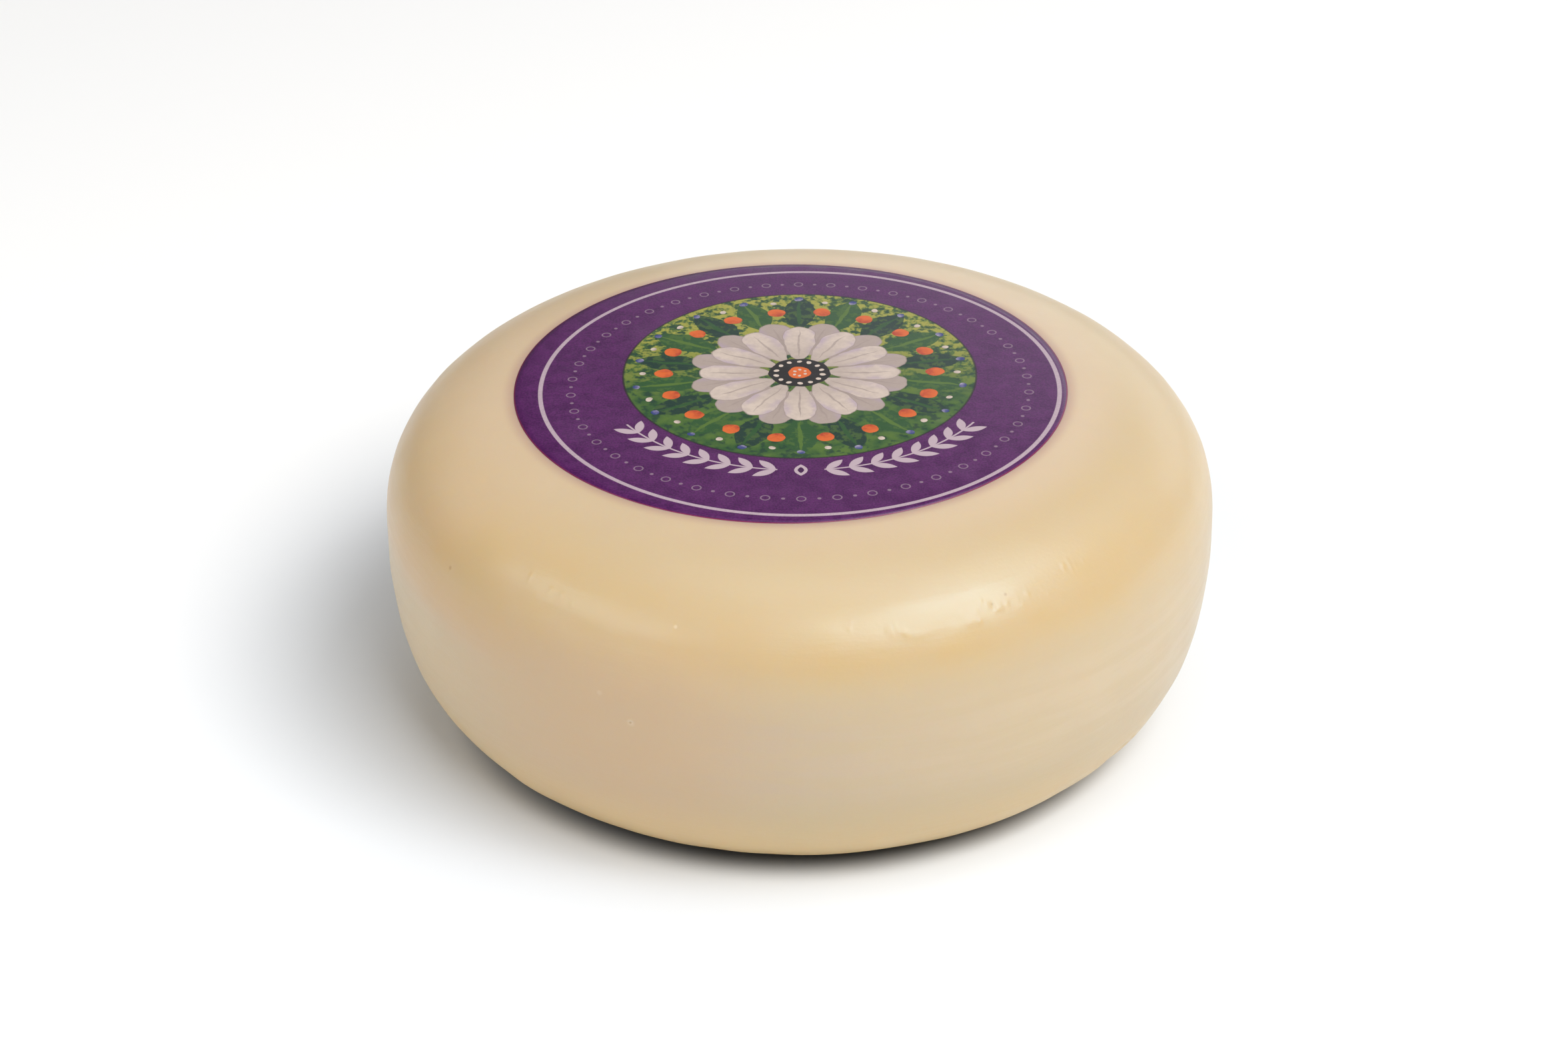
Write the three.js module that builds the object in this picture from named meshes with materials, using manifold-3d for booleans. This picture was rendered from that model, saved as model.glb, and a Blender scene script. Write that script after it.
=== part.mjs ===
// A whole pressed cheese wheel of the Gouda kind, about 4.5 kg: flat on both faces, full at the girth, with a broad
// soft shoulder and a rounder foot, sealed in a thin cream-yellow coat. A round paper label lies in a shallow seat in
// the top, a little off centre, as a label laid on by hand does.
// Millimetres, +Z up. The origin is the middle of the flat base, and the label's picture is upright seen from -Y.

import * as THREE from "three";
import { mergeVertices } from "three/addons/utils/BufferGeometryUtils.js";
import Module from "manifold-3d";

// Driving dimensions of the wheel.
const wheelDiameter = 244.4;
const girthHeight = 59; // height of the widest line above the base
const shoulderRise = 39.6; // from the girth up to the rim of the top face
const shoulderReach = 52; // how far the shoulder's curve comes in from the girth
const shoulderFullness = 2.6; // superellipse exponent: 2 is an ellipse, more is squarer
const footReach = 39; // how far the foot's curve comes in from the girth, down to the base
const footFullness = 2.51;
const crownHeight = 0.4; // the top face swells this much above its rim
const topLean = 0.003; // and rises this much per millimetre towards +X

// A pressed wheel is never quite round. Each lobe is a number of waves round the girth with its depth and direction.
const girthLobes = [
  { waves: 2, depth: 0.46, turn: 2.77 },
  { waves: 3, depth: 0.65, turn: 1.79 },
  { waves: 4, depth: 0.5, turn: 0 },
];
const lobesReachIn = 0.28; // they fade out over this share of the radius, inwards from the girth

// Coat that ran down and set leaves a low ripple round the foot.
const footRipples = [
  { waves: 14, depth: 0.22, turn: 1.3 },
  { waves: 19, depth: 0.16, turn: 0.2 },
];
const rippleHeight = 13; // height of the ripple's middle above the base
const rippleSpread = 9;

// Driving dimensions of the label.
const labelDiameter = 162;
const labelThickness = 0.4;
const labelOffset = { x: -2.6, y: 0.9 }; // from the wheel's axis
const labelProud = 0.1; // how far its face stands above the coat round it
const labelGap = 0.3; // between the label and its seat, below and round the edge

// Facets.
const segmentsRound = 112;
const stepsPerCurve = 16;
const ringsAcrossFace = 2;
const ringsAcrossLabel = 4;

const wheelRadius = wheelDiameter / 2;
const faceRadius = wheelRadius - shoulderReach;
const baseRadius = wheelRadius - footReach;
const rimHeight = girthHeight + shoulderRise;

// A quarter of a superellipse, from out on the girth (reach, 0) to the rim of a flat face (0, rise).
function quarterCurve(reach, rise, fullness) {
  return Array.from({ length: stepsPerCurve + 1 }, (_, i) => {
    const turn = (i / stepsPerCurve) * (Math.PI / 2);
    const across = i === stepsPerCurve ? 0 : Math.cos(turn) ** (2 / fullness);
    const up = Math.sin(turn) ** (2 / fullness);
    return new THREE.Vector2(reach * across, rise * up);
  });
}

// Evenly spaced radii from the axis out to a rim.
const spokes = (radius, count) => Array.from({ length: count + 1 }, (_, i) => (radius * i) / count);

// The section of the wheel while it is still true, from the middle of the base up to the middle of the top face.
function wheelSection() {
  const base = spokes(baseRadius, ringsAcrossFace).map((r) => new THREE.Vector2(r, 0));
  const foot = quarterCurve(footReach, girthHeight, footFullness)
    .map((p) => new THREE.Vector2(baseRadius + p.x, girthHeight - p.y))
    .reverse();
  const shoulder = quarterCurve(shoulderReach, shoulderRise, shoulderFullness)
    .map((p) => new THREE.Vector2(faceRadius + p.x, girthHeight + p.y));
  const face = spokes(faceRadius, ringsAcrossFace)
    .map((r) => new THREE.Vector2(r, rimHeight))
    .reverse();
  return [...base, ...foot.slice(1), ...shoulder.slice(1), ...face.slice(1)];
}

const sumOfWaves = (lobes, angle) =>
  lobes.reduce((sum, lobe) => sum + lobe.depth * Math.cos(lobe.waves * angle + lobe.turn), 0);

// Moves one point of the true wheel to where it lies on the real, uneven one.
function makeUneven({ x, y, z }) {
  const radius = Math.hypot(x, y);
  const angle = Math.atan2(y, x);
  const nearGirth = THREE.MathUtils.smoothstep(radius, wheelRadius * (1 - lobesReachIn), wheelRadius);
  const offBase = THREE.MathUtils.smoothstep(z, 0, rippleHeight);
  const nearFoot = Math.exp(-(((z - rippleHeight) / rippleSpread) ** 2));
  const waviness = sumOfWaves(girthLobes, angle) + nearFoot * sumOfWaves(footRipples, angle);
  const outward = 1 + (nearGirth * offBase * waviness) / wheelRadius;
  const aboveGirth = Math.max(0, (z - girthHeight) / shoulderRise);
  const crown = aboveGirth * crownHeight * (1 - (radius / wheelRadius) ** 2);
  const lean = (z / rimHeight) * topLean * x;
  return new THREE.Vector3(x * outward, y * outward, z + crown + lean);
}

// Height of the wheel's top at a place on its face or shoulder.
function topHeight(x, y) {
  const intoCurve = Math.max(0, (Math.hypot(x, y) - faceRadius) / shoulderReach);
  const rise = shoulderRise * (1 - intoCurve ** shoulderFullness) ** (1 / shoulderFullness);
  return makeUneven({ x, y, z: girthHeight + rise }).z;
}

// Turns a section about +Z, then moves every vertex to the place that a function gives for it.
function turned(section, place) {
  const geometry = new THREE.LatheGeometry(section, segmentsRound).rotateX(Math.PI / 2);
  const position = geometry.getAttribute("position");
  const vertex = new THREE.Vector3();
  for (let i = 0; i < position.count; i++) {
    const { x, y, z } = place(vertex.fromBufferAttribute(position, i));
    position.setXYZ(i, x, y, z);
  }
  geometry.computeVertexNormals();
  return geometry;
}

// A round disc laid on the wheel's top where the label is: it reaches from low to high, measured from the coat.
function discOnTop(radius, low, high) {
  const rings = spokes(radius, ringsAcrossLabel);
  const under = rings.map((r) => new THREE.Vector2(r, low));
  const over = rings.map((r) => new THREE.Vector2(r, high)).reverse();
  return turned([...under, ...over], (point) => {
    const x = point.x + labelOffset.x;
    const y = point.y + labelOffset.y;
    return new THREE.Vector3(x, y, topHeight(x, y) + point.z);
  });
}

const wasm = await Module();
wasm.setup();

// A closed mesh as a solid that can be cut.
function toSolid(geometry) {
  const weldDistance = 1e-3;
  const bare = geometry.clone();
  bare.deleteAttribute("normal");
  bare.deleteAttribute("uv");
  const welded = mergeVertices(bare, weldDistance);
  const vertProperties = welded.getAttribute("position").array;
  const triVerts = new Uint32Array(welded.index.array);
  return new wasm.Manifold(new wasm.Mesh({ numProp: 3, vertProperties, triVerts }));
}

function toGeometry(solid) {
  const mesh = solid.getMesh();
  const geometry = new THREE.BufferGeometry();
  geometry.setAttribute("position", new THREE.BufferAttribute(mesh.vertProperties, 3));
  geometry.setIndex(new THREE.BufferAttribute(mesh.triVerts, 1));
  geometry.computeVertexNormals();
  return geometry;
}

// The cheese in its coat, with the shallow seat that the label lies in.
function makeWheel() {
  const seatDepth = labelThickness - labelProud + labelGap;
  const aboveFace = 5;
  const body = turned(wheelSection(), makeUneven);
  const seat = discOnTop(labelDiameter / 2 + labelGap, -seatDepth, aboveFace);
  const coat = new THREE.MeshStandardMaterial({ color: "#e2c69a", roughness: 0.38, metalness: 0 });
  const wheel = new THREE.Mesh(toGeometry(toSolid(body).subtract(toSolid(seat))), coat);
  wheel.name = "cheese_wheel";
  return wheel;
}

// The paper disc on the top.
function makeLabel() {
  const disc = discOnTop(labelDiameter / 2, labelProud - labelThickness, labelProud);
  const print = new THREE.MeshStandardMaterial({ color: "#5c3763", roughness: 0.45, metalness: 0 });
  const label = new THREE.Mesh(disc, print);
  label.name = "label";
  return label;
}

const cheese = new THREE.Group();
cheese.add(makeWheel(), makeLabel());

export default cheese;
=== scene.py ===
# A whole cheese wheel with its paper label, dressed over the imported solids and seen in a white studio.
# The frame is the solids' own: +Z up, the wheel standing on Z = 0, the viewer towards -Y. Lengths are in
# metres, except where a comment says millimetres.
import math
import random

import bmesh
import bpy
import numpy as np
from mathutils import Matrix, Vector, noise


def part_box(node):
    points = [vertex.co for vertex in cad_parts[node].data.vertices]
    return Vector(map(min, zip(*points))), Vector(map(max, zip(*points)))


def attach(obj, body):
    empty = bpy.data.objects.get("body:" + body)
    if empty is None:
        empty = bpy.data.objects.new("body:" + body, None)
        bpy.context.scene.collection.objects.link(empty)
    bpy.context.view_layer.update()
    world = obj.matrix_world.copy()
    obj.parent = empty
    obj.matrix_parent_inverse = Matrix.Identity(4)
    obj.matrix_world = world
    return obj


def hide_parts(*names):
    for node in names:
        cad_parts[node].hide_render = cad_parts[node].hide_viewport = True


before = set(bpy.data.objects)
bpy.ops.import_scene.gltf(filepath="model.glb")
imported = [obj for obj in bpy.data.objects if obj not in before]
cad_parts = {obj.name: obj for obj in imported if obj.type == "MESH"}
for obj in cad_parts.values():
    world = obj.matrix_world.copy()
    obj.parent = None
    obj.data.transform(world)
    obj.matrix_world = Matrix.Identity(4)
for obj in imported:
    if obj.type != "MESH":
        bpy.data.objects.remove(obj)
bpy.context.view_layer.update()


# The cheese: a pressed wheel of semi-hard cheese, about 4.5 kg. Its round mould left it flat on both faces
# and full at the girth. It was then brushed all over, in layers, with a cream-yellow coat that sealed it.

mm = 0.001
wheel_radius = 122.2 * mm
girth_height = 59 * mm
shoulder_rise = 39.6 * mm
shoulder_reach = 52 * mm
shoulder_fullness = 2.6
foot_reach = 39 * mm
foot_fullness = 2.51
crown_height = 0.4 * mm
top_lean = 0.003
rim_height = girth_height + shoulder_rise
face_radius = wheel_radius - shoulder_reach
base_radius = wheel_radius - foot_reach

girth_lobes = [(2, 0.46 * mm, 2.77), (3, 0.65 * mm, 1.79), (4, 0.5 * mm, 0)]  # waves round, depth, turn
foot_ripples = [(14, 0.22 * mm, 1.3), (19, 0.16 * mm, 0.2)]
lobes_reach_in = 0.28  # the share of the radius over which the lobes fade out, inwards from the girth
ripple_height = 13 * mm
ripple_spread = 9 * mm

points_on_curve = 600


def quarter_curve(reach, rise, fullness):
    """A quarter of a superellipse, from out on the girth (reach, 0) to the rim of a flat face (0, rise)."""
    turn = np.linspace(0, math.pi / 2, points_on_curve)
    across = np.clip(np.cos(turn), 0, 1) ** (2 / fullness)
    up = np.sin(turn) ** (2 / fullness)
    return reach * across, rise * up


def wheel_section():
    """The true wheel's section from the base's middle to the top's: radii, heights and lengths along it."""
    foot_across, foot_down = quarter_curve(foot_reach, girth_height, foot_fullness)
    top_across, top_up = quarter_curve(shoulder_reach, shoulder_rise, shoulder_fullness)
    radii = [[0], base_radius + foot_across[::-1], face_radius + top_across[1:], [0]]
    heights = [[0], girth_height - foot_down[::-1], girth_height + top_up[1:], [rim_height]]
    radii, heights = np.concatenate(radii), np.concatenate(heights)
    steps = np.hypot(np.diff(radii), np.diff(heights))
    return radii, heights, np.concatenate([[0], np.cumsum(steps)])


section_radius, section_height, section_along = wheel_section()
section_length = section_along[-1]
top_rim_along = section_length - face_radius


def smoothstep(low, high, value):
    share = min(max((value - low) / (high - low), 0), 1)
    return share * share * (3 - 2 * share)


def sum_of_waves(waves, turn):
    return sum(depth * math.cos(count * turn + phase) for count, depth, phase in waves)


def make_uneven(x, y, z):
    """Moves a point of the true wheel to where it lies on the real, uneven one, as the solid does."""
    radius = math.hypot(x, y)
    turn = math.atan2(y, x)
    near_girth = smoothstep(wheel_radius * (1 - lobes_reach_in), wheel_radius, radius)
    off_base = smoothstep(0, ripple_height, z)
    near_foot = math.exp(-(((z - ripple_height) / ripple_spread) ** 2))
    waviness = sum_of_waves(girth_lobes, turn) + near_foot * sum_of_waves(foot_ripples, turn)
    outward = 1 + near_girth * off_base * waviness / wheel_radius
    above_girth = max(0, (z - girth_height) / shoulder_rise)
    crown = above_girth * crown_height * (1 - (radius / wheel_radius) ** 2)
    return Vector((x * outward, y * outward, z + crown + z / rim_height * top_lean * x))


# Small marks in the coat. Each has its turn about the axis, in degrees from +X, and then, in millimetres,
# its length along the section from the middle of the base, its height (below zero for a pit), half its width
# round the wheel and half its length up the section.
marks = [
    (-36.8, 117.4, -0.85, 3.8, 3.6),  # a chip out of the foot at the right
    (-35.2, 119.9, -0.4, 1.5, 1.3),
    (-38.6, 115.0, -0.3, 1.6, 1.2),
    (-33.9, 122.2, 0.3, 1.3, 1.1),  # its raised edges
    (-37.4, 116.9, 0.22, 0.8, 0.8),
    (-112.4, 160.6, -0.35, 0.6, 0.55),  # a burst bubble with its rim
    (-112.4, 161.5, 0.2, 0.8, 0.4),
    (-113.1, 160.9, 0.12, 1.2, 0.4),
    (-116.8, 167.7, 0.14, 0.9, 0.8),  # small lumps on the side
    (-78.4, 151.4, 0.08, 0.6, 0.6),
    (-107.4, 190.8, 0.16, 0.4, 1.2),  # dents and drips on the shoulder
    (-106.9, 190.8, -0.08, 0.4, 1.2),
    (-130.7, 193.0, 0.14, 0.5, 1.6),
    (-145.4, 183.3, -0.1, 0.6, 1.4),
    (-63.2, 192.2, -0.14, 0.45, 1.3),
    (-62.7, 192.5, 0.1, 0.4, 1.2),
    (-66.9, 189.6, 0.13, 2.4, 1.7),
    (-69.4, 191.6, -0.08, 1.6, 1.5),
]

# The finer marks are drawn at random and added to the list, in the same units.
chance = random.Random(7)
swell_count = 110
swell_height = 0.06
swell_along = 190.5
swell_scatter = 3
swell_half_width = (1.8, 4.0)
swell_half_length = (1.4, 2.6)


def add_swells():
    """Faint swells and hollows all round the shoulder, where the brush left more of the coat or less."""
    for _ in range(swell_count):
        place = (chance.uniform(-180, 180), chance.gauss(swell_along, swell_scatter))
        size = (chance.uniform(*swell_half_width), chance.uniform(*swell_half_length))
        marks.append((*place, chance.uniform(-swell_height, swell_height), *size))


drip_scatter = 1.1
drip_half_width = (0.4, 0.7)
drip_half_length = (0.6, 1.3)
drip_groups = [  # turn, length along, count, scatter of the turn, least and greatest height
    (-77, 191, 9, 1.8, 0.06, 0.13),
    (-84, 192, 4, 1.5, 0.04, 0.09),
    (-64, 191.5, 9, 1.8, 0.07, 0.15),
    (-57, 191.5, 5, 2.0, 0.04, 0.1),
    (-49, 195.5, 7, 2.0, 0.05, 0.12),
    (-126, 191.6, 8, 2.0, 0.05, 0.11),
    (60, 192, 14, 30.0, 0.04, 0.1),
    (170, 191, 12, 25.0, 0.04, 0.1),
]


def add_drips(turn, along, count, scatter, least, most):
    """Small upright drips that set in the coat side by side."""
    for _ in range(count):
        place = (chance.gauss(turn, scatter), chance.gauss(along, drip_scatter))
        size = (chance.uniform(*drip_half_width), chance.uniform(*drip_half_length))
        marks.append((*place, chance.uniform(least, most), *size))


add_swells()
for group in drip_groups:
    add_drips(*group)

mark_turn, mark_along, mark_height, mark_wide, mark_tall = np.array(marks).T
mark_turn = np.radians(mark_turn)

segments_round = 360
rows_on_base = 8
rows_on_curve = 118
rows_on_face = 16
mark_cuts = 3
fine_patches = [  # turns and lengths between which the grid is split to carry marks of under a millimetre
    ((-90, -45), (187, 198)),
    ((-132, -121), (188, 195)),
    ((-109, -106), (188, 193.5)),
    ((-147, -144), (181, 186)),
    ((-118, -111), (158, 170)),
    ((-80, -77), (150, 153)),
    ((-43, -30), (110, 126)),
]


def refine(grid, turns, lengths):
    """Splits the faces of the flat grid between two turns, in degrees, and two lengths, in millimetres."""
    near = set()
    for face in grid.faces:
        middle = face.calc_center_median()
        if turns[0] < math.degrees(middle.x) < turns[1] and lengths[0] < middle.y / mm < lengths[1]:
            near.update(face.edges)
    bmesh.ops.subdivide_edges(grid, edges=list(near), cuts=mark_cuts, use_grid_fill=True)


label_low, label_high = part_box("label")
label_centre = (label_low + label_high) / 2
label_radius = (label_high.x - label_low.x) / 2
label_margin = 3 * mm

relief_margin = 12 * mm  # the length over which the relief comes in, outwards from the flat base
lump_size = 12 * mm
lump_height = 0.2 * mm
lumps_lost_on_top = 0.6  # the share of their height that the lumps lose towards the flat top
stroke_size = 16 * mm
stroke_height = 0.035 * mm
stroke_squeeze = 5  # a brush stroke is this much narrower than it is long


def relief(turn, along, place):
    """How far the coat stands out from the smooth wheel: not at all on the base or under the label."""
    free = smoothstep(base_radius, base_radius + relief_margin, along)
    if place.z > girth_height:
        from_label = math.hypot(place.x - label_centre.x, place.y - label_centre.y) - label_radius
        free *= smoothstep(-label_margin, label_margin, from_label)
    flatness = smoothstep(girth_height, rim_height, place.z)
    lumps = lump_height * (1 - lumps_lost_on_top * flatness) * noise.noise(place / lump_size)
    squeezed = Vector((place.x, place.y, place.z * stroke_squeeze))
    strokes = stroke_height * noise.noise(squeezed / stroke_size)
    apart = (turn - mark_turn + math.pi) % (2 * math.pi) - math.pi
    round_wheel = apart * (wheel_radius / mm) / mark_wide
    up_section = (along / mm - mark_along) / mark_tall
    standing = np.sum(mark_height * np.exp(-(round_wheel ** 2) - up_section ** 2))
    return free * (lumps + strokes) + standing * mm


def wheel_point(turn, along):
    """The place on the coat at a turn about the axis and a length along the section."""
    step = 0.2 * mm
    radius, before, after = np.interp((along, along - step, along + step), section_along, section_radius)
    height, lower, higher = np.interp((along, along - step, along + step), section_along, section_height)
    normal = Vector(((higher - lower) * math.cos(turn), (higher - lower) * math.sin(turn), before - after))
    point = make_uneven(radius * math.cos(turn), radius * math.sin(turn), height)
    return point + normal.normalized() * relief(turn, along, point)


weld_distance = 1e-6


def smooth_piece(name, shape):
    """Welds a shape where its points meet and puts it in the scene as a smooth-shaded piece."""
    bmesh.ops.remove_doubles(shape, verts=shape.verts, dist=weld_distance)
    bmesh.ops.recalc_face_normals(shape, faces=shape.faces)
    mesh = bpy.data.meshes.new(name)
    shape.to_mesh(mesh)
    shape.free()
    mesh.shade_smooth()
    piece = bpy.data.objects.new(name, mesh)
    bpy.context.scene.collection.objects.link(piece)
    return piece


def build_wheel():
    """A grid over turn and length along the section, split at the fine marks and wrapped round the wheel."""
    turns = np.linspace(-math.pi, math.pi, segments_round + 1)
    rows = np.concatenate([
        np.linspace(0, base_radius, rows_on_base + 1),
        np.linspace(base_radius, top_rim_along, rows_on_curve + 1)[1:],
        np.linspace(top_rim_along, section_length, rows_on_face + 1)[1:],
    ])
    grid = bmesh.new()
    verts = [[grid.verts.new((turn, row, 0)) for turn in turns] for row in rows]
    for low, high in zip(verts, verts[1:]):
        for i in range(segments_round):
            grid.faces.new((low[i], low[i + 1], high[i + 1], high[i]))
    for turns, lengths in fine_patches:
        refine(grid, turns, lengths)
    for vert in grid.verts:
        vert.co = wheel_point(vert.co.x, vert.co.y)
    return smooth_piece("coated_wheel", grid)


class Socket:
    """An output of a material's nodes. Arithmetic on values adds Math nodes to the same tree."""

    def __init__(self, tree, output=None):
        self.tree = tree
        self.output = output

    def node(self, kind, settings, values, output=0):
        """Adds a node, with its settings first and then its sockets, and returns one of its outputs."""
        made = self.tree.nodes.new("ShaderNode" + kind)
        for name, value in settings.items():
            setattr(made, name, value)
        for name, value in values.items():
            if isinstance(value, Socket):
                self.tree.links.new(value.output, made.inputs[name])
            else:
                made.inputs[name].default_value = value
        return Socket(self.tree, made.outputs[output])

    def math(self, operation, *others):
        return self.node("Math", {"operation": operation}, dict(enumerate((self, *others))))

    def __add__(self, other):
        return self.math("ADD", other)

    def __sub__(self, other):
        return self.math("SUBTRACT", other)

    def __rsub__(self, other):
        return self.node("Math", {"operation": "SUBTRACT"}, {0: other, 1: self})

    def __mul__(self, other):
        return self.math("MULTIPLY", other)

    def __truediv__(self, other):
        return self.math("DIVIDE", other)

    def __pow__(self, other):
        return self.math("POWER", other)

    __radd__ = __add__
    __rmul__ = __mul__

    def over(self, low, high):
        """0 below low and 1 above high, with a smooth step between."""
        settings = {"interpolation_type": "SMOOTHSTEP"}
        return self.node("MapRange", settings, {"Value": self, "From Min": low, "From Max": high})

    def under(self, low, high):
        """1 below low and 0 above high, with a smooth step between."""
        return 1 - self.over(low, high)

    def band(self, low, full, end, high):
        """1 from full to end, with a smooth step from 0 at low and another to 0 at high."""
        return self.over(low, full) * self.under(end, high)

    def between(self, first, second):
        """A colour that goes from first to second as this value goes from 0 to 1."""
        return self.node("Mix", {"data_type": "RGBA"}, {0: self, 6: first, 7: second}, 2)

    def paint(self, colour, share):
        """This colour with another laid over it, as far as share says."""
        return self.node("Mix", {"data_type": "RGBA"}, {0: share, 6: self, 7: colour}, 2)

    def parts(self):
        """The three parts of this vector or colour, as values."""
        return [self.node("SeparateXYZ", {}, {0: self}, i) for i in range(3)]

    def scaled(self, factors):
        return self.node("VectorMath", {"operation": "MULTIPLY"}, {0: self, 1: factors})

    def distance(self, spot):
        return self.node("VectorMath", {"operation": "DISTANCE"}, {0: self, 1: spot}, "Value")

    def speckle(self, size, detail=2, roughness=0.5, low=0.3, high=0.7):
        """Noise at this place, from 0 to 1, with lumps of about the size given."""
        values = {"Vector": self, "Scale": 1 / size, "Detail": detail, "Roughness": roughness}
        return self.node("TexNoise", {}, values).over(low, high)

    def bump(self):
        """The normal of a surface that this height stands out from."""
        return self.node("Bump", {}, {"Height": self, "Distance": 1.0, "Strength": 1.0})


def new_material(name, finish):
    """A material with the finish that is the same all over it, its shader, and the place on the object."""
    material = bpy.data.materials.new(name)
    material.use_nodes = True
    tree = material.node_tree
    shader = tree.nodes["Principled BSDF"]
    for socket_name, value in finish.items():
        shader.inputs[socket_name].default_value = value
    return material, shader, Socket(tree).node("TexCoord", {}, {}, "Object")


def connect(socket, shader, name):
    socket.tree.links.new(socket.output, shader.inputs[name])


coat_finish = {
    "IOR": 1.53,
    "Specular Tint": (0.22, 0.70, 1.0, 1),
    "Subsurface Weight": 0.6,
    "Subsurface Radius": (1.0, 0.6, 0.3),
    "Subsurface Scale": 4 * mm,
    "Coat Weight": 0.2,
    "Coat Roughness": 0.22,
}
coat_roughness = 0.38
grain_height = 0.012 * mm
brushing_height = 0.05 * mm

coat_colour = (0.566, 0.429, 0.249, 1)
coat_deep = (0.578, 0.405, 0.183, 1)  # deeper ochre, on the shoulder
coat_tan = (0.579, 0.392, 0.219, 1)  # on the left, below the top
coat_ochre = (0.610, 0.380, 0.145, 1)  # on the shoulder at the far left
coat_greyer = (0.550, 0.417, 0.280, 1)  # greyer and bluer, on the side
painted_light_right_side = (0.603, 0.466, 0.292, 1)  # painted light: the side at the right made lighter, where the main light falls
coat_top = (0.635, 0.491, 0.341, 1)  # round the label, paler; its rise towards the right is painted light
painted_light_top_left = (0.625, 0.465, 0.290, 1)  # painted light: the top at the left made lighter, as if lit from behind at the left
foot_ochre_and_bounce = (0.700, 0.474, 0.192, 1)  # brighter and more ochre at the foot: partly its own colour, partly painted light bounced up from the floor
label_edge_red_and_shade = (0.43, 0.25, 0.21, 1)  # round the label: the red edge showing through the coat, darkened by painted shade
fleck_brown = (0.36, 0.19, 0.06, 1)
# pale scars, and a painted glint
pale_scar_and_glint = (0.72, 0.60, 0.43, 1)
fleck_core = 0.2  # the share of a fleck's radius that has its full colour
flecks = [  # turn in degrees, length along and radius in millimetres, share and colour
    (-60.9, 194.4, 0.7, 0.45, fleck_brown),
    (-63.3, 192.9, 0.6, 0.35, fleck_brown),
    (-145.4, 183.3, 0.9, 0.45, fleck_brown),
    (-134.2, 113.7, 0.5, 0.45, fleck_brown),
    (-112.4, 160.6, 1.6, 0.4, pale_scar_and_glint),
    (-112.5, 160.4, 0.6, 0.4, fleck_brown),
    (-116.8, 167.7, 1.2, 0.2, pale_scar_and_glint),
    # a painted glint on a drip
    (-107.1, 190.9, 0.8, 0.5, pale_scar_and_glint),
]


def make_coat():
    """The coat: its masks are in millimetres across (+X), up, and outwards from the label's edge."""
    material, shader, place = new_material("cheese_coat", coat_finish)
    broad = place.speckle(45 * mm)
    patches = place.speckle(14 * mm, detail=3)
    streaks = place.scaled((1, 1, 9)).speckle(30 * mm, detail=3)
    across, _, height = (part / mm for part in place.parts())
    axis_of_label = (label_centre.x, label_centre.y, 0)
    from_label = (place.scaled((1, 1, 0)).distance(axis_of_label) - label_radius) / mm

    on_top = height.over(80, 95)
    side = height.band(26, 42, 56, 74) * across.over(-120, -10)
    # where light is painted onto the top at the left
    lit_top_left = height.over(74, 86) * across.under(-102, -45)
    round_label = on_top * from_label.under(4, 22)
    inner = (across.over(-118, -65) + height.over(54, 68)).math("MINIMUM", 1)
    left = inner * across.under(-45, 5) * height.under(74, 90)
    far_shoulder = height.band(58, 70, 80, 92) * across.under(-95, -60)
    shoulder = height.band(66, 80, 85, 98) * across.under(0, 200)
    # the foot's colour, with its painted bounce light, reaches higher on the far left
    low_left = across.under(-112, -88) * height.under(36, 62)
    foot = (height.under(8, 34) + 0.3 * low_left).math("MINIMUM", 1)
    # painted shade, tinted red, in a rim round the label
    halo = on_top * from_label.under(0, 4)

    # the side goes greyer, and lighter towards the right as painted light
    side_tone = across.over(-30, 80).between(coat_greyer, painted_light_right_side)
    colour = (side * (0.45 + 0.7 * streaks)).between(coat_colour, side_tone)
    layers = [
        (painted_light_top_left, lit_top_left),
        # paler round the label, and more so towards the right as painted light
        (coat_top, round_label * (0.4 + 0.45 * across.over(-40, 80))),
        (coat_tan, 0.8 * left),
        (coat_ochre, 0.4 * far_shoulder),
        (coat_deep, shoulder * (0.25 + 0.5 * broad)),
        (foot_ochre_and_bounce, foot * (0.7 + 0.3 * patches)),
        (coat_greyer, 0.16 * patches),
        (label_edge_red_and_shade, 0.58 * halo),
    ]
    for layer_colour, share in layers:
        colour = colour.paint(layer_colour, share)
    for turn, along, radius, share, fleck_colour in flecks:
        spot = tuple(wheel_point(math.radians(turn), along * mm))
        on_fleck = (place.distance(spot) / mm).under(fleck_core * radius, radius)
        colour = colour.paint(fleck_colour, share * on_fleck)
    connect(colour, shader, "Base Color")
    connect(coat_roughness + 0.06 * patches - 0.04 * streaks, shader, "Roughness")

    grain = place.speckle(1.2 * mm, low=0.2, high=0.8)
    brushing = place.scaled((1, 1, 7)).speckle(18 * mm, detail=4, low=0.2, high=0.8)
    raised = grain_height * grain + brushing_height * brushing
    connect(raised.bump(), shader, "Normal")
    return material


coated_wheel = build_wheel()
coated_wheel.data.materials.append(make_coat())
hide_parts("cheese_wheel")
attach(coated_wheel, "root")


# The label: a round sheet of printed paper, laid on by hand a little off centre and sealed under the last
# layer of the coat, so that it lies all but flush. Its plum ground, pale ring and medallion are printed.

label_proud = 0.1 * mm
label_sunk = 0.1 * mm
label_rings = 40
label_segments = 240


def top_height(x, y):
    into_curve = max(0, (math.hypot(x, y) - face_radius) / shoulder_reach)
    rise = shoulder_rise * (1 - into_curve ** shoulder_fullness) ** (1 / shoulder_fullness)
    return make_uneven(x, y, girth_height + rise).z


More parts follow.
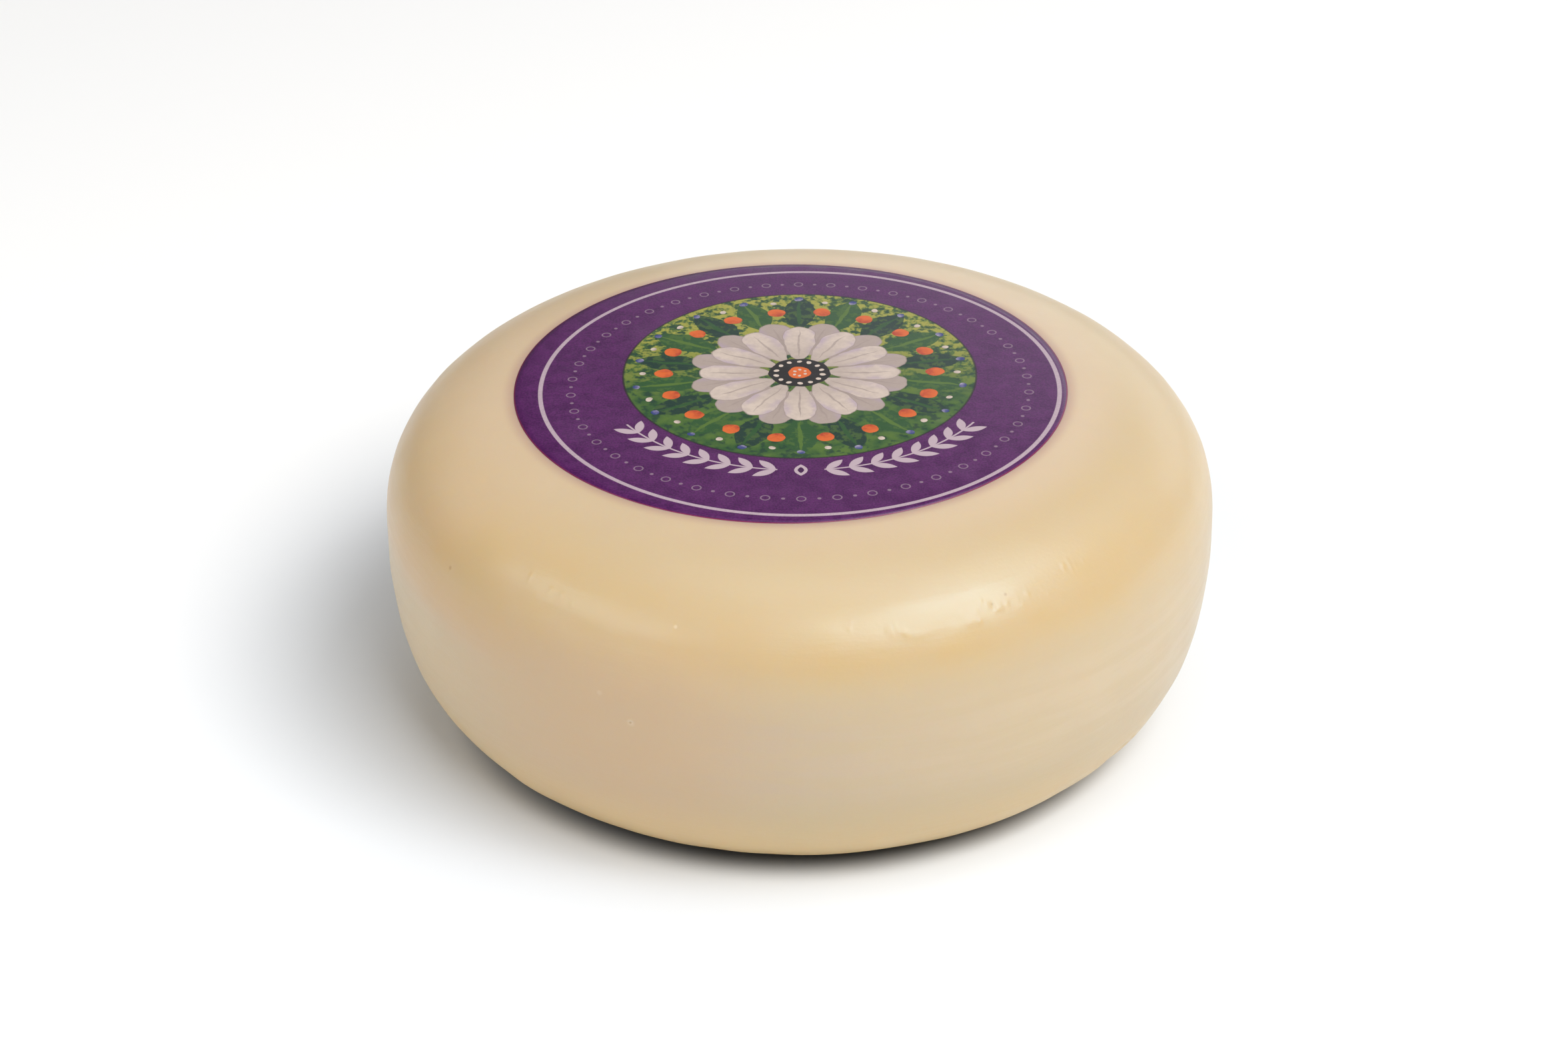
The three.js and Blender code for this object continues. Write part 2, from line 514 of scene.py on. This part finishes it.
def build_label():
    """A thin closed disc that follows the top of the wheel."""
    disc = bmesh.new()
    radii = list(np.linspace(0, label_radius, label_rings + 1))
    underside = [(radius, -label_sunk) for radius in radii]
    face = [(radius, label_proud) for radius in reversed(radii)]
    loops = []
    for radius, above in underside + face:
        loop = []
        for i in range(label_segments):
            turn = 2 * math.pi * i / label_segments
            x = label_centre.x + radius * math.cos(turn)
            y = label_centre.y + radius * math.sin(turn)
            loop.append(disc.verts.new((x, y, top_height(x, y) + above)))
        loops.append(loop)
    for low, high in zip(loops, loops[1:]):
        for i in range(label_segments):
            j = (i + 1) % label_segments
            disc.faces.new((low[i], low[j], high[j], high[i]))
    return smooth_piece("paper_label", disc)


print_finish = {"IOR": 1.42}
print_roughness = 0.32
mottle_height = 0.02 * mm
paper_grain_height = 0.004 * mm

plum = (0.042, 0.003, 0.052, 1)
plum_worn = (0.102, 0.014, 0.112, 1)
rim_red = (0.25, 0.02, 0.07, 1)
pale_ink = (0.435, 0.335, 0.375, 1)
petal_cream = (0.56, 0.46, 0.39, 1)
petal_shade = (0.30, 0.235, 0.21, 1)
petal_lilac = (0.36, 0.27, 0.38, 1)
heart_dark = (0.012, 0.010, 0.010, 1)
leaf_green = (0.018, 0.070, 0.018, 1)
leaf_blue_green = (0.006, 0.030, 0.020, 1)
meadow_green = (0.070, 0.135, 0.020, 1)
meadow_yellow = (0.29, 0.28, 0.045, 1)
bud_orange = (0.60, 0.115, 0.020, 1)
bud_red = (0.34, 0.035, 0.015, 1)
berry_blue = (0.020, 0.035, 0.16, 1)
milky = (0.42, 0.36, 0.46, 1)

# The print's own sizes are in millimetres. Its middle lies 2.7 mm to the right of the label's, because the
# cutter struck a little to the left of it.
print_middle = (0.1, -0.1)
ink_edge = 0.12  # how soft the print's edges are
brush_waver = 1.1  # how far the painted lines of the medallion wander
petal_flare = 0.35  # how much broader a petal is at its outer end than at its middle


class Plane:
    """A flat place on the print, in millimetres from some middle, from which the motifs are drawn."""

    def __init__(self, x, y):
        self.x, self.y = x, y

    def moved(self, x, y):
        return Plane(self.x - x, self.y - y)

    def spun(self, angle):
        turn = math.radians(angle)
        along = self.x * math.cos(turn) + self.y * math.sin(turn)
        return Plane(along, self.y * math.cos(turn) - self.x * math.sin(turn))

    def wavering(self, drift, reach):
        """This place shifted by a noise colour, so that what is drawn on it has a brush's unsteady lines."""
        red, green, _ = (part - 0.5 for part in drift.parts())
        return Plane(self.x + red * (2 * reach), self.y + green * (2 * reach))

    def radius(self):
        return (self.x * self.x + self.y * self.y) ** 0.5

    def bearing(self):
        """The angle about the middle, from straight down, growing to both sides."""
        return self.x.math("ABSOLUTE").math("ARCTAN2", -1 * self.y)

    def slices(self, count, phase=0.0):
        """This place folded into one of count equal slices about the middle, whose own middle line is +Y."""
        turn = self.x.math("ARCTAN2", self.y)
        part = (turn * (count / (2 * math.pi)) + (phase + 0.5)).math("FRACT") - 0.5
        turn, radius = part * (2 * math.pi / count), self.radius()
        return Plane(radius * turn.math("SINE"), radius * turn.math("COSINE"))

    def disc(self, radius):
        """1 within a radius about the middle."""
        return self.radius().under(radius - ink_edge, radius + ink_edge)

    def ring(self, radius, width):
        """1 on a line of some width drawn at a radius about the middle."""
        off = (self.radius() - radius).math("ABSOLUTE")
        return off.under(width / 2 - ink_edge, width / 2 + ink_edge)

    def dots(self, count, out, radius, phase=0.0):
        """1 on each of count equal dots that lie in a circle this far out."""
        return self.slices(count, phase).moved(0, out).disc(radius)

    def pointed(self, half_width, half_length):
        """1 on a pointed leaf that lies along Y about the middle."""
        fullness = self.x.math("ABSOLUTE") / half_width + (self.y / half_length).math("ABSOLUTE") ** 2
        soft = ink_edge / half_width
        return fullness.under(1 - soft, 1 + soft)

    def flared(self, half_width, half_length):
        """1 on a petal that lies along Y about the middle and is broader at its outer end."""
        broad = self.x / (half_width + self.y * (petal_flare * half_width / half_length))
        long = self.y / half_length
        soft = 2 * ink_edge / half_width
        return (broad * broad + long * long).under(1 - soft, 1 + soft)


medallion_rise = 8
medallion_radius = 52
medallion_line = 0.6
leaf_count = 9
leaf_out = 39
leaf_size = (5, 11)  # half a width and half a length, as in every size of a leaf or a petal
leaf_vein = (0.7, 9)
leaf_rings = [(0, leaf_blue_green, leaf_green), (0.5, leaf_green, meadow_green)]  # phase, blade and vein
bud_rings = [  # count, phase, distance out, radius, colour and shade
    (9, 0.25, 40, 2.6, bud_orange, bud_red),
    (9, 0.75, 40, 2.6, bud_orange, bud_red),
    (18, 0, 48.5, 1.2, berry_blue, milky),
    (18, 0.5, 46.5, 1.0, petal_cream, petal_shade),
]
petal_count = 12
petal_rings = [  # phase, distance out, size and how deep in shade
    (0.5, 22.5, (5, 10.3), 0.75),
    (0, 19, (4.8, 10.8), 0.0),
]
petal_outline = 0.25
petal_vein_width = 0.35
petal_vein_reach = 0.8  # the share of the petal's length that its vein runs along
heart_radius = 9
stamens = (14, 7, 0.75)  # count, distance out and radius
eye_radius = 3.6
eye_seeds = (6, 2, 0.5)


def draw_ground(colour, field, high, mottle, paint_grain):
    """The medallion's ground: a meadow, more yellow towards its upper edge."""
    ground = mottle.between(leaf_green, meadow_green)
    ground = ground.paint(meadow_yellow, high * paint_grain.over(0.25, 0.75))
    ground = ground.paint(leaf_blue_green, 0.7 * paint_grain.under(0.1, 0.35))
    return colour.paint(ground, field.disc(medallion_radius))


def draw_leaves(colour, flower, paint_grain):
    """Two rings of leaves that show behind the petals, with buds and berries between their tips."""
    for phase, blade_colour, vein_colour in leaf_rings:
        leaf = flower.slices(leaf_count, phase).moved(0, leaf_out)
        blade = leaf.pointed(*leaf_size)
        colour = colour.paint(blade_colour, blade)
        colour = colour.paint(meadow_green, 0.5 * blade * paint_grain.over(0.55, 0.8))
        colour = colour.paint(vein_colour, blade * leaf.pointed(*leaf_vein))
    for count, phase, out, radius, bud_colour, shade in bud_rings:
        bud = flower.slices(count, phase).moved(0, out)
        shaded = (paint_grain * bud.y.under(-radius, radius)).between(bud_colour, shade)
        colour = colour.paint(shaded, bud.disc(radius))
    return colour


def draw_petals(colour, flower, mottle, paint_grain):
    """Two rings of cream petals, the hinder in shade, each with a vein, lilac edges and an outline."""
    for phase, out, (half_width, half_length), shade in petal_rings:
        petal = flower.slices(petal_count, phase).moved(0, out)
        inner = petal.y.under(-half_length, half_length * 0.6)
        vein = petal.pointed(petal_vein_width, half_length * petal_vein_reach)
        edges = petal.x.math("ABSOLUTE").over(0.3 * half_width, half_width)
        petal_colour = (shade + (1 - shade) * 0.45 * inner).between(petal_cream, petal_shade)
        petal_colour = petal_colour.paint(petal_shade, 0.6 * vein + 0.3 * paint_grain)
        petal_colour = petal_colour.paint(petal_lilac, 0.6 * mottle * edges)
        inside = petal.flared(half_width - petal_outline, half_length - petal_outline)
        colour = colour.paint(petal_shade, petal.flared(half_width, half_length))
        colour = colour.paint(petal_colour, inside)
    return colour


def draw_medallion(colour, middle, drift, mottle, paint_grain):
    """The print's round picture: a cream flower with a dark heart on a green ground."""
    field = middle.moved(0, medallion_rise)
    flower = field.wavering(drift, brush_waver)
    colour = draw_ground(colour, field, flower.y.over(-20, 30), mottle, paint_grain)
    colour = draw_leaves(colour, flower, paint_grain)
    colour = draw_petals(colour, flower, mottle, paint_grain)
    colour = colour.paint(heart_dark, flower.disc(heart_radius))
    colour = colour.paint(petal_cream, flower.dots(*stamens))
    colour = colour.paint(bud_orange, flower.disc(eye_radius))
    colour = colour.paint(petal_cream, flower.dots(*eye_seeds))
    return colour.paint(heart_dark, 0.8 * field.ring(medallion_radius, medallion_line))


stem_radius = 58.8
stem_width = 0.6
sprig_spacing = 6.6  # from one pair of leaves to the next
sprig_start, sprig_end = 1, 9  # counted in pairs of leaves from straight down
sprig_soft = 0.01
sprig_leaf = (1.35, 3.7)
sprig_leaf_off = 2.3
sprig_leaf_angle = 38
lozenge_size = (1.9, 3.2)
lozenge_hole = (0.9, 1.7)


def draw_sprigs(colour, middle):
    """Two pale sprigs that curve along the medallion's foot from a small lozenge between them."""
    flower = middle.moved(0, medallion_rise)
    pairs = flower.bearing() * (stem_radius / sprig_spacing)
    started = pairs.over(sprig_start - sprig_soft, sprig_start + sprig_soft)
    on_sprig = started * pairs.under(sprig_end - sprig_soft, sprig_end + sprig_soft)
    colour = colour.paint(pale_ink, on_sprig * flower.ring(stem_radius, stem_width))
    step = pairs.math("FRACT") - 0.5
    stem = Plane(flower.radius() - stem_radius, step * sprig_spacing)
    for side in (-1, 1):
        leaf = stem.moved(sprig_leaf_off * side, 0).spun(-sprig_leaf_angle * side)
        colour = colour.paint(pale_ink, on_sprig * leaf.pointed(*sprig_leaf))
    lozenge = middle.moved(0, medallion_rise - stem_radius)
    colour = colour.paint(pale_ink, lozenge.pointed(*lozenge_size))
    return colour.paint(plum, lozenge.pointed(*lozenge_hole))


ring_radius = 75.9
ring_width = 1.3
bead_count = 42
bead_out = 67
bead_radius = 1.25
bead_line = 0.38
seed_radius = 0.55
red_edge = (0.2, 0.5)  # how far in from the cut edge the red is still full, and where it has faded out


def make_print():
    material, shader, place = new_material("label_print", print_finish)
    x, y, _ = (part / mm for part in place.parts())
    middle = Plane(x, y).moved(*print_middle)
    from_cut = label_radius / mm - Plane(x, y).moved(label_centre.x / mm, label_centre.y / mm).radius()
    mottle = place.speckle(5 * mm, detail=3)
    paint_grain = place.speckle(2.5 * mm, detail=4, roughness=0.6)
    grain = place.speckle(0.6 * mm, roughness=0.7, low=0.35, high=0.65)
    drift = place.node("TexNoise", {}, {"Vector": place, "Scale": 1 / (7 * mm), "Detail": 2}, "Color")

    colour = (0.6 * grain + 0.3 * mottle).between(plum, plum_worn)
    colour = draw_medallion(colour, middle, drift, mottle, paint_grain)
    colour = draw_sprigs(colour, middle)
    beads = middle.slices(bead_count).moved(0, bead_out).ring(bead_radius, bead_line)
    seeds = middle.dots(bead_count, bead_out, seed_radius, 0.5)
    colour = colour.paint(pale_ink, 0.38 * (beads + seeds))
    colour = colour.paint(pale_ink, (0.85 + 0.15 * grain) * middle.ring(ring_radius, ring_width))
    colour = colour.paint(rim_red, 0.7 * from_cut.under(*red_edge))

    veil = place.speckle(22 * mm, low=0.55, high=0.8)
    wisps = place.scaled((1, 2.5, 1)).speckle(9 * mm, detail=3, roughness=0.6, low=0.58, high=0.75)
    # painted sheen: the print grows milkier towards the back right
    painted_sheen = (x + y).over(-30, 90)
    colour = colour.paint(milky, 0.02 * veil + 0.09 * wisps * veil + 0.045 * painted_sheen)
    connect(colour, shader, "Base Color")
    connect(print_roughness + 0.1 * mottle - 0.05 * veil, shader, "Roughness")
    raised = mottle_height * mottle + paper_grain_height * grain
    connect(raised.bump(), shader, "Normal")
    return material


paper_label = build_label()
paper_label.data.materials.append(make_print())
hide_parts("label")
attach(paper_label, "root")


# The studio: a floor that burns out to white, with shade and a contact shadow painted on it close round the
# wheel, the main soft light high at the front right, a second on the right, and weaker ones on the left,
# above and behind. The camera looks down at thirty degrees through a long lens.

floor_white = (0.90, 0.895, 0.885, 1)
floor_painted_shade = (0.78, 0.815, 0.855, 1)  # painted shade: darker round the wheel, and a little cooler there, since the coat lends it a warm cast
painted_contact_shadow = (0.11, 0.12, 0.14, 1)  # painted shadow: the dark line where the foot meets the floor
contact_middle = (-3 * mm, -4 * mm, 0)
half_floor = 4

corners = [(x * half_floor, y * half_floor, 0) for x, y in ((-1, -1), (1, -1), (1, 1), (-1, 1))]
floor_mesh = bpy.data.meshes.new("studio_floor")
floor_mesh.from_pydata(corners, [], [(0, 1, 2, 3)])
floor = bpy.data.objects.new("studio_floor", floor_mesh)
bpy.context.scene.collection.objects.link(floor)
floor_material, floor_shader, floor_place = new_material("white_floor", {"Roughness": 0.9})
from_middle = floor_place.distance(contact_middle) / mm  # in millimetres
away_from_foot = from_middle.over(112, 260).between(floor_painted_shade, floor_white)
# the painted contact shadow, in a ring under the foot
floor_colour = from_middle.over(91, 107).between(painted_contact_shadow, away_from_foot)
connect(floor_colour, floor_shader, "Base Color")
floor_mesh.materials.append(floor_material)

aim = Vector((0, 0, 50 * mm))
lamp_distance = 3


def softbox(name, azimuth, elevation, wide, tall, power):
    """A flat soft light that faces the wheel. Azimuth 0 is +X, 90 is +Y, and both angles are in degrees."""
    across, up = math.radians(azimuth), math.radians(elevation)
    away = Vector((math.cos(up) * math.cos(across), math.cos(up) * math.sin(across), math.sin(up)))
    light = bpy.data.lights.new(name, "AREA")
    light.shape = "RECTANGLE"
    light.size = wide
    light.size_y = tall
    light.energy = power
    lamp = bpy.data.objects.new(name, light)
    lamp.location = aim + away * lamp_distance
    lamp.rotation_euler = away.to_track_quat("Z", "Y").to_euler()
    bpy.context.scene.collection.objects.link(lamp)


softbox("key_light", -49, 49, 2.4, 1.6, 82)
softbox("window_light", -8, 60, 2.0, 1.5, 30)
softbox("fill_light", -154, 33, 2.5, 1.0, 25)
softbox("low_light", -146, 7, 3.4, 0.6, 10.5)
softbox("overhead_light", 90, 85, 1.6, 1.6, 11)
softbox("back_light", 66, 13, 3.2, 1.0, 13)

room_light = 0.14
world = bpy.data.worlds.new("studio")
world.use_nodes = True
background = world.node_tree.nodes["Background"]
background.inputs["Color"].default_value = (1, 1, 1, 1)
background.inputs["Strength"].default_value = room_light
bpy.context.scene.world = world
bpy.context.scene.view_settings.view_transform = "Standard"

camera_place = Vector((-4.7 * mm, -903.3 * mm, 575.4 * mm))
camera_tilt = math.radians(30.06)
camera_roll = math.radians(-0.25)
forward = Vector((0, math.cos(camera_tilt), -math.sin(camera_tilt)))
level_up = Vector((0, math.sin(camera_tilt), math.cos(camera_tilt)))
level_right = Vector((1, 0, 0))
right = level_right * math.cos(camera_roll) + level_up * math.sin(camera_roll)
up = level_up * math.cos(camera_roll) - level_right * math.sin(camera_roll)
facing = Matrix((right, up, -forward)).transposed()
camera = bpy.data.objects.new("camera", bpy.data.cameras.new("camera"))
camera.data.lens = 80
camera.data.sensor_width = 36
camera.data.clip_start = 10 * mm
camera.matrix_world = Matrix.Translation(camera_place) @ facing.to_4x4()
bpy.context.scene.collection.objects.link(camera)
bpy.context.scene.camera = camera
